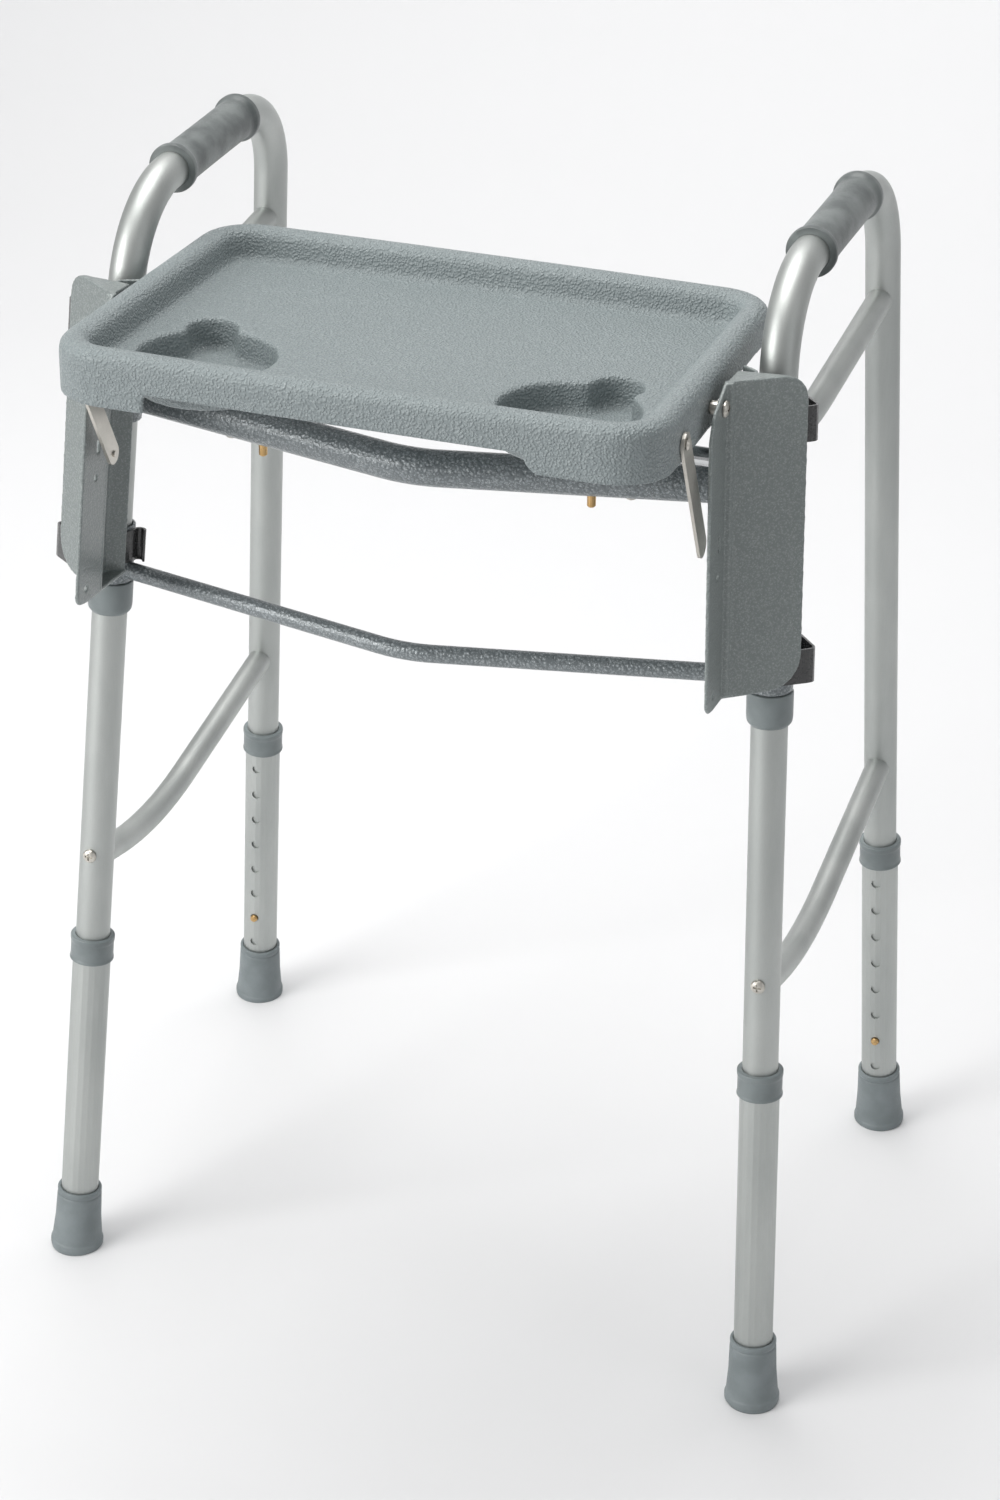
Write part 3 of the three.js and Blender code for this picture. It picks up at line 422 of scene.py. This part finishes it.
def softened(profile, radius, steps=4):
    """The profile with each corner rounded off."""
    pts = [Vector((r, z, 0)) for r, z in profile]
    out = [pts[0]]
    for before, p, after in zip(pts, pts[1:], pts[2:]):
        u, v = before - p, after - p
        reach = min(radius, 0.45 * u.length, 0.45 * v.length)
        a, b = p + u.normalized() * reach, p + v.normalized() * reach
        for k in range(steps + 1):
            t = k / steps
            out.append(a * (1 - t) ** 2 + p * 2 * t * (1 - t) + b * t ** 2)
    out.append(pts[-1])
    return [(q.x, q.y) for q in out]


def speckle_group():
    # the dry, finely pitted surface of moulded vinyl and rubber
    tree, given, out = node_group(
        "moulded_speckle", [("Size", 900.0)],
        [("Pits", "NodeSocketFloat"), ("Cloud", "NodeSocketFloat")],
    )
    coords = object_coords(tree)
    fine = wire(tree, "ShaderNodeTexNoise", {"Detail": 3.0, "Roughness": 0.6}, Vector=coords,
                Scale=given.outputs["Size"])
    cloud = wire(tree, "ShaderNodeTexNoise", {"Scale": 45.0, "Detail": 3.0}, Vector=coords)
    tree.links.new(fine.outputs["Fac"], out.inputs["Pits"])
    tree.links.new(spread(tree, cloud.outputs["Fac"], 0.32, 0.68), out.inputs["Cloud"])
    return tree


SPECKLE = speckle_group()


def moulded(name, light, dark, rough, depth=0.00015, size=900.0):
    material, tree, shader = start_material(name, Metallic=0.0)
    speckle = use_group(tree, SPECKLE, Size=size)
    wear = use_group(tree, EDGE_WEAR, Breakup=70.0)
    colour = tint(tree, speckle.outputs["Cloud"], light, dark)
    paler = tuple(min(1.0, c * 1.45) for c in light)
    colour = tint(tree, wear.outputs["Wear"], colour, paler)
    colour = tint(tree, wear.outputs["Hollows"], colour, tuple(c * 0.6 for c in dark))
    tree.links.new(colour, shader.inputs["Base Color"])
    roughened(tree, shader, speckle.outputs["Pits"], 0.3, 0.7, rough - 0.06, rough + 0.08)
    bumped(tree, shader, speckle.outputs["Pits"], depth, 0.8)
    return material


VINYL = moulded("grip_vinyl", (0.165, 0.182, 0.180), (0.082, 0.094, 0.094), 0.38)


def grip_profile():
    f, n = GRIP_FLANGE, GRIP_LENGTH
    lip = [(GRIP_BORE_R, 0.0), (f - 0.0004, 0.0), (f, 0.0008), (f, 0.0052), (f - 0.0016, 0.0072)]
    flare = f - 0.0022 - GRIP_WAIST
    waist = []
    for i in range(GRIP_WAIST_STEPS + 1):
        t = i / GRIP_WAIST_STEPS
        waist.append((GRIP_WAIST + flare * (2 * t - 1) ** 2, GRIP_LIP + t * (n - 2 * GRIP_LIP)))
    near = softened(lip, 0.0016)
    far = [(r, n - z) for r, z in reversed(near)]
    return near + waist + far + [(GRIP_BORE_R, n - 0.004), (GRIP_BORE_R, 0.004)]


for letter, side in SIDES:
    corner_front = leg_axis("front", side, TOP_RAIL)
    corner_rear = leg_axis("rear", side, TOP_RAIL)
    way = (corner_rear - corner_front).normalized()
    mesh = turned("hand_grip_" + letter, grip_profile(), corner_front + GRIP_START * way, way,
                  GRIP_FACETS, closed=True)
    place(mesh, VINYL, "side_" + letter, "grip_" + letter, "grey_plastic")


# Side braces. Two 19 mm tubes join the legs of each side, coped and welded;
# the lower one sags in a long curve.
SIDE_BRACE_R = 0.0095
SIDE_BRACES = {"upper": (0.736, 0.726, 0.728), "lower": (0.346, 0.318, 0.338)}
SIDE_BEND, SIDE_BEND_STEPS, SIDE_BRACE_FACETS = 0.330, 24, 40
SAG_AT, SAG_EXTRA = 0.3, 0.006  # the lowest point, counted from the front leg
COPE = 0.0108  # how far from the leg's axis the brace's end stops


def side_brace_path(side, heights):
    rear_z, mid_z, front_z = heights
    a, b = leg_axis("front", side, front_z), leg_axis("rear", side, rear_z)
    low = a.lerp(b, SAG_AT)
    low.x += side * LEAN_IN * (low.z - mid_z)
    low.z = mid_z - math.copysign(SAG_EXTRA, a.z - mid_z)
    path = rounded_path([a, low, b], [SIDE_BEND], SIDE_BEND_STEPS)
    path[0] = a + COPE * (path[1] - a).normalized()
    path[-1] = b + COPE * (path[-2] - b).normalized()
    return path


for letter, side in SIDES:
    _, normal = frame_path(side)
    for which, heights in SIDE_BRACES.items():
        path = side_brace_path(side, heights)
        rings = tube_rings(path, normal, SIDE_BRACE_R, SIDE_BRACE_FACETS)
        mesh = rings_mesh(f"side_brace_tube_{which}_{letter}", rings)
        node = f"side_brace_{which}_{letter}"
        place(mesh, ALUMINIUM, "side_" + letter, node, "satin_aluminium")


# Leg extensions. A 28.6 mm tube slides over each leg's lower end, drilled with a
# row of holes for the snap button.
BEVEL_STEPS = 2
ROUND_ANGLE, FLAT_ANGLE, TUBE_ANGLE = 50, 35, 40  # what counts as an edge, in degrees


def carry(node, material, bevel=0.0, angle=TUBE_ANGLE):
    """A CAD solid that is right as it is: its own finish, smooth, with broken edges."""
    o = nodes[node]
    o.data.materials.clear()
    o.data.materials.append(material)
    o.data.polygons.foreach_set("use_smooth", [True] * len(o.data.polygons))
    o.data.set_sharp_from_angle(angle=math.radians(angle))
    if bevel:
        edge = o.modifiers.new("broken_edge", "BEVEL")
        edge.width = bevel
        edge.segments = BEVEL_STEPS
        edge.limit_method = "ANGLE"
        edge.angle_limit = math.radians(angle)
        edge.harden_normals = True
        edge.use_clamp_overlap = True


for letter, _ in SIDES:
    for end in ENDS:
        carry(f"leg_extension_{end}_{letter}", ALUMINIUM)


# Leg collars and stop collars. Short grey rings moulded with rounded lips: one caps
# each extension, one carries the hinge sleeves on each front leg.
COLLAR_R, COLLAR_HEIGHT, EXTENSION_TOP = 0.0165, 0.020, 0.272
EXTENSION_R = 0.0143
STOP_R, STOP_LOW, STOP_HIGH = 0.016, 0.538, 0.5625
SNUG = 0.0001  # between a ring and the tube it sits on
COLLAR_PLASTIC = moulded("collar_plastic", (0.190, 0.218, 0.222), (0.148, 0.172, 0.176), 0.38)

for letter, side in SIDES:
    for end in ENDS:
        over, top = EXTENSION_R + SNUG, EXTENSION_TOP + 0.0024
        low = top - COLLAR_HEIGHT
        profile = softened([
            (over, low), (COLLAR_R, low), (COLLAR_R, low + 0.0016), (COLLAR_R - 0.0005, low + 0.0028),
            (COLLAR_R - 0.0005, top - 0.0050), (COLLAR_R, top - 0.0036), (COLLAR_R, top),
            (LEG_R + 0.00035, top),
        ], 0.0009) + [(LEG_R + 0.00035, top - 0.0022), (over, top - 0.0022)]
        mesh = turned(f"collar_{end}_{letter}", profile, *leg_line(end, side), closed=True)
        place(mesh, COLLAR_PLASTIC, f"extension_{end}_{letter}", f"leg_collar_{end}_{letter}",
              "grey_plastic")
    inner = LEG_R + 0.00012
    profile = softened([
        (inner, STOP_LOW), (STOP_R - 0.0026, STOP_LOW), (STOP_R - 0.0005, STOP_LOW + 0.0024),
        (STOP_R, STOP_LOW + 0.006), (STOP_R, STOP_HIGH - 0.0004), (STOP_R - 0.0008, STOP_HIGH),
        (inner, STOP_HIGH),
    ], 0.0012) + [(inner, STOP_HIGH - 0.002), (inner, STOP_LOW + 0.002)]
    mesh = turned("stop_ring_" + letter, profile, *leg_line("front", side), closed=True)
    place(mesh, COLLAR_PLASTIC, "side_" + letter, "stop_collar_" + letter, "grey_plastic")


# Foot tips. Grey rubber ferrules that flare to a flat tread, with a moulded bead at
# the mouth and a fine ring above the tread.
TIP_TOP_R, TIP_BASE_R, TIP_HEIGHT = 0.017, 0.0204, 0.052
TIP_FLOOR = 0.0089  # the rubber under the tube's end
TREAD_CUT = -0.003  # the tread is cut level at the floor
TIP_FACETS = 64
RUBBER = moulded("tip_rubber", (0.195, 0.224, 0.232), (0.158, 0.184, 0.190), 0.52, 0.0002, 700.0)


def tip_profile():
    mouth = EXTENSION_R + 0.00012
    return softened([
        (0.0001, TREAD_CUT), (TIP_BASE_R - 0.0012, TREAD_CUT), (TIP_BASE_R - 0.0001, 0.0016),
        (TIP_BASE_R - 0.0001, 0.0052), (TIP_BASE_R - 0.0009, 0.0064), (TIP_BASE_R - 0.0012, 0.0082),
        (TIP_TOP_R + 0.0007, 0.026), (TIP_TOP_R + 0.0001, TIP_HEIGHT - 0.0062),
        (TIP_TOP_R - 0.0006, TIP_HEIGHT - 0.0054), (TIP_TOP_R - 0.0006, TIP_HEIGHT - 0.0044),
        (TIP_TOP_R, TIP_HEIGHT - 0.0036), (TIP_TOP_R, TIP_HEIGHT - 0.0006),
        (TIP_TOP_R - 0.0008, TIP_HEIGHT), (mouth, TIP_HEIGHT), (mouth, TIP_FLOOR),
        (0.0001, TIP_FLOOR),
    ], 0.0010, 3)


for letter, side in SIDES:
    for end in ENDS:
        mesh = turned(f"rubber_tip_{end}_{letter}", tip_profile(), *leg_line(end, side), TIP_FACETS)
        for v in mesh.vertices:
            v.co.z = max(v.co.z, 0.0)
        place(mesh, RUBBER, f"extension_{end}_{letter}", f"foot_tip_{end}_{letter}", "foot_rubber")


# Brass snap buttons and lock pins, turned from bar with faint tool rings, and the
# plated screws, rivets and pivots.
def turned_metal(name, light, dark, rough, hollow_tone=0.35):
    material, tree, shader = start_material(name, Metallic=1.0)
    speckle = use_group(tree, SPECKLE, Size=420.0)
    wear = use_group(tree, EDGE_WEAR, Breakup=160.0)
    colour = tint(tree, speckle.outputs["Cloud"], light, dark)
    # hollows found by pointiness are coloured darker
    colour = tint(tree, wear.outputs["Hollows"], colour, tuple(c * hollow_tone for c in dark))
    tree.links.new(colour, shader.inputs["Base Color"])
    roughened(tree, shader, speckle.outputs["Pits"], 0.25, 0.75, rough - 0.05, rough + 0.1)
    bumped(tree, shader, speckle.outputs["Pits"], 0.00003, 0.6)
    return material


BRASS = turned_metal("brass", (0.62, 0.42, 0.20), (0.50, 0.32, 0.14), 0.30)
NICKEL = turned_metal("nickel_plate", (0.60, 0.575, 0.525), (0.54, 0.52, 0.475), 0.34, 0.8)
CHROME = turned_metal("bright_rod", (0.62, 0.63, 0.63), (0.52, 0.53, 0.54), 0.16)

SCREW_BEVEL, STAY_BEVEL, PIN_BEVEL, ROD_BEVEL = 0.0002, 0.00035, 0.0003, 0.0008

for letter, _ in SIDES:
    for end in ENDS:
        carry(f"snap_button_{end}_{letter}", BRASS, angle=ROUND_ANGLE)
    carry("lock_pin_" + letter, BRASS, PIN_BEVEL, ROUND_ANGLE)
    carry("brace_rivet_" + letter, NICKEL, angle=ROUND_ANGLE)
    for small in ("side_brace_screw_", "tray_pivot_", "stay_rivet_"):
        carry(small + letter, NICKEL, SCREW_BEVEL, FLAT_ANGLE)
    carry("stay_" + letter, NICKEL, STAY_BEVEL, FLAT_ANGLE)
carry("spreader_rod", CHROME, ROD_BEVEL, ROUND_ANGLE)


# Cross braces. The bowed upper tube and the lower rod are welded to sleeves that
# turn on the front legs; all of it in dark hammered enamel.
def hammered_group():
    # pools of enamel drawn back from small rounded craters, with bright specks for the metal flakes:
    # partly the enamel's own flakes, partly painted glints
    tree, given, out = node_group(
        "hammered_enamel", [("Size", 400.0)],
        [("Height", "NodeSocketFloat"), ("FlakeGlint", "NodeSocketFloat"), ("Pool", "NodeSocketFloat")],
    )
    coords = object_coords(tree)
    warp = wire(tree, "ShaderNodeTexNoise", {"Scale": 300.0, "Detail": 2.0}, Vector=coords)
    shift = tree.nodes.new("ShaderNodeVectorMath")
    shift.operation = "SCALE"
    shift.inputs["Scale"].default_value = 0.0022
    tree.links.new(warp.outputs["Color"], shift.inputs[0])
    moved = tree.nodes.new("ShaderNodeVectorMath")
    moved.operation = "ADD"
    tree.links.new(coords, moved.inputs[0])
    tree.links.new(shift.outputs[0], moved.inputs[1])
    cells = wire(tree, "ShaderNodeTexVoronoi", {"feature": "SMOOTH_F1", "Smoothness": 0.6},
                 Vector=moved.outputs[0], Scale=given.outputs["Size"])
    glint_cells = wire(tree, "ShaderNodeTexVoronoi", {"feature": "F1", "Scale": 1500.0}, Vector=coords)
    pick = wire(tree, "ShaderNodeSeparateColor", {}, Color=glint_cells.outputs["Color"])
    height = spread(tree, cells.outputs["Distance"], 0.05, 0.75)
    tree.links.new(height, out.inputs["Height"])
    tree.links.new(spread(tree, pick.outputs[0], 0.80, 0.98), out.inputs["FlakeGlint"])
    tree.links.new(spread(tree, cells.outputs["Distance"], 0.15, 0.55), out.inputs["Pool"])
    return tree


HAMMERED = hammered_group()


def enamel(name, base, pool, glint_colour, rough, size, depth, metallic):
    material, tree, shader = start_material(name, Metallic=metallic)
    shader.inputs["Coat Weight"].default_value = 0.25
    shader.inputs["Coat Roughness"].default_value = 0.22
    hammer = use_group(tree, HAMMERED, Size=size)
    wear = use_group(tree, EDGE_WEAR, Breakup=60.0)
    colour = tint(tree, hammer.outputs["Pool"], base, pool)
    # bright specks mixed into the base colour: partly the flakes' own colour, partly painted glints
    speck = math_node(tree, "MULTIPLY", hammer.outputs["FlakeGlint"], 0.55)
    colour = tint(tree, speck, colour, glint_colour)
    colour = tint(tree, wear.outputs["Wear"], colour, tuple(min(1, c * 1.5) for c in base))
    tree.links.new(colour, shader.inputs["Base Color"])
    roughened(tree, shader, hammer.outputs["Pool"], 0.0, 1.0, rough + 0.06, rough - 0.06)
    bumped(tree, shader, hammer.outputs["Height"], depth, 0.9)
    return material


# the third colour is the flake tint, partly the flakes' own colour and partly painted glints
DARK_ENAMEL = enamel("dark_hammered_enamel", (0.245, 0.272, 0.284), (0.150, 0.170, 0.179),
                     (0.48, 0.51, 0.52), 0.36, 420.0, 0.00045, 0.2)


def fine_copy(name, node, voxel, passes, keep):
    """The CAD solid with its corners and welds run soft, as paint or moulding leaves them."""
    mesh = nodes[node].data.copy()
    mesh.name = name
    work = bpy.data.objects.new(name + "_work", mesh)
    bpy.context.collection.objects.link(work)
    grid = work.modifiers.new("grid", "REMESH")
    grid.mode = "VOXEL"
    grid.voxel_size = voxel
    soft = work.modifiers.new("soft", "SMOOTH")
    soft.factor = 0.5
    soft.iterations = passes
    thin = work.modifiers.new("thin", "DECIMATE")
    thin.ratio = keep
    bpy.context.view_layer.update()
    result = work.evaluated_get(bpy.context.evaluated_depsgraph_get())
    got = bpy.data.meshes.new_from_object(result)
    got.name = name
    bpy.data.objects.remove(work)
    got.polygons.foreach_set("use_smooth", [True] * len(got.polygons))
    return got


mesh = fine_copy("upper_brace", "cross_brace_upper", 0.0010, 5, 0.4)
place(mesh, DARK_ENAMEL, "front_unit", "cross_brace_upper", "dark_hammertone")
mesh = fine_copy("lower_brace", "cross_brace_lower", 0.0009, 5, 0.5)
place(mesh, DARK_ENAMEL, "front_unit", "cross_brace_lower", "dark_hammertone")


# Tray. Moulded in grey plastic with a fine pebbled face: a rolled rim, a flat floor,
# and a well at each front corner for a cup, with a slot for a mug's handle.
def pebble_group():
    tree, given, out = node_group(
        "pebbled_plastic", [("Size", 620.0)],
        [("Height", "NodeSocketFloat"), ("Cloud", "NodeSocketFloat")],
    )
    coords = object_coords(tree)
    cells = wire(tree, "ShaderNodeTexVoronoi", {"feature": "SMOOTH_F1", "Smoothness": 0.75},
                 Vector=coords, Scale=given.outputs["Size"])
    grit = wire(tree, "ShaderNodeTexNoise", {"Scale": 1300.0, "Detail": 2.0}, Vector=coords)
    cloud = wire(tree, "ShaderNodeTexNoise", {"Scale": 9.0, "Detail": 4.0}, Vector=coords)
    pebbles = spread(tree, cells.outputs["Distance"], 0.75, 0.1)
    tree.links.new(blend(tree, 0.35, pebbles, grit.outputs["Fac"]), out.inputs["Height"])
    tree.links.new(spread(tree, cloud.outputs["Fac"], 0.3, 0.7), out.inputs["Cloud"])
    return tree


def tray_plastic():
    material, tree, shader = start_material("pebbled_tray_plastic", Metallic=0.0)
    pebble = use_group(tree, pebble_group())
    wear = use_group(tree, EDGE_WEAR, Breakup=40.0)
    colour = tint(tree, pebble.outputs["Cloud"], (0.268, 0.305, 0.312), (0.248, 0.283, 0.290))
    # painted shade: the hollows between the pebbles are coloured darker, standing in for the grain's
    # sparkle
    painted_pit_shade = spread(tree, pebble.outputs["Height"], 0.2, 0.8, 1.0, 0.0)
    colour = tint(tree, painted_pit_shade, colour, (0.205, 0.237, 0.244))
    colour = tint(tree, wear.outputs["Hollows"], colour, (0.15, 0.175, 0.18))
    tree.links.new(colour, shader.inputs["Base Color"])
    roughened(tree, shader, pebble.outputs["Height"], 0.2, 0.8, 0.46, 0.30)
    bumped(tree, shader, pebble.outputs["Height"], 0.0011, 1.0)
    return material


mesh = fine_copy("carrying_tray", "tray", 0.0014, 8, 0.35)
place(mesh, tray_plastic(), "tray_unit", "tray", "tray_plastic")


# Tray brackets. Folded steel plates in mid grey hammered enamel, one on each front
# leg, that carry the tray's pivots; black spring clips snap them onto the leg.
# the third colour is the flake tint, partly the flakes' own colour and partly painted glints
GREY_ENAMEL = enamel("grey_hammered_enamel", (0.235, 0.262, 0.257), (0.178, 0.202, 0.200),
                     (0.33, 0.36, 0.355), 0.40, 560.0, 0.00022, 0.1)


def black_enamel():
    material, tree, shader = start_material("black_spring_enamel", Metallic=0.0)
    shader.inputs["Coat Weight"].default_value = 0.5
    shader.inputs["Coat Roughness"].default_value = 0.12
    speckle = use_group(tree, SPECKLE, Size=500.0)
    wear = use_group(tree, EDGE_WEAR, Breakup=120.0)
    colour = tint(tree, speckle.outputs["Cloud"], (0.007, 0.008, 0.009), (0.013, 0.014, 0.015))
    colour = tint(tree, wear.outputs["Wear"], colour, (0.07, 0.07, 0.07))
    tree.links.new(colour, shader.inputs["Base Color"])
    roughened(tree, shader, speckle.outputs["Pits"], 0.3, 0.7, 0.24, 0.36)
    bumped(tree, shader, speckle.outputs["Pits"], 0.00006, 0.6)
    return material


BLACK_ENAMEL = black_enamel()
CLIP_BEVEL = 0.0003

for letter, _ in SIDES:
    mesh = fine_copy("bracket_" + letter, "tray_bracket_" + letter, 0.0007, 3, 0.3)
    place(mesh, GREY_ENAMEL, "front_unit", "tray_bracket_" + letter, "grey_hammertone")
    for which in ("upper", "lower"):
        carry(f"clip_{which}_{letter}", BLACK_ENAMEL, CLIP_BEVEL, FLAT_ANGLE)
